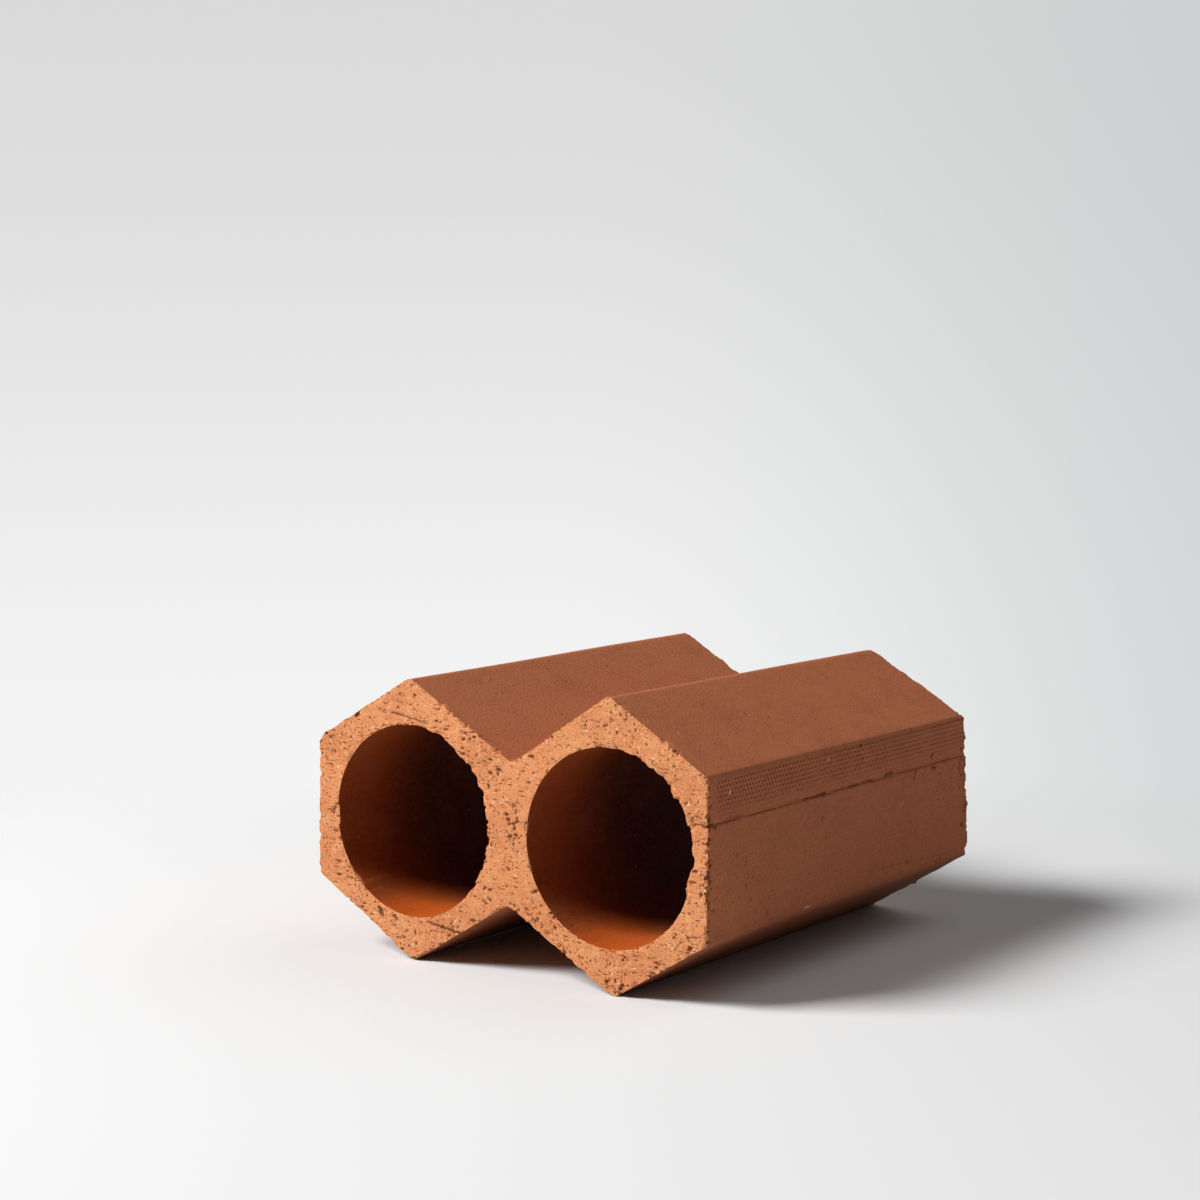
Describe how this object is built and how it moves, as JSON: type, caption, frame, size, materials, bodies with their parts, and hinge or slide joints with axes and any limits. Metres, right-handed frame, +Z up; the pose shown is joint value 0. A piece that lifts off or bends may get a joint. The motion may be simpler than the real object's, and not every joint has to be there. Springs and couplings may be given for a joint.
{
  "type": "clay screen block",
  "caption": "Extruded fired-clay screen block: twin hexagonal cells side by side, sharing a web, each with a round through bore.",
  "frame": {"origin": "middle of the footprint, on the floor that the two lower ridges rest on", "axes": "+X from the left cell to the right cell, +Y along the bores from the front end to the back end, +Z up"},
  "size_m": [0.2, 0.2, 0.1165],
  "materials": {
    "fired_clay": "unglazed, wire-cut ends rough and orange, die-smoothed sides darker brown"
  },
  "bodies": {
    "root": {"screen_block": "fired_clay"}
  },
  "joints": []
}
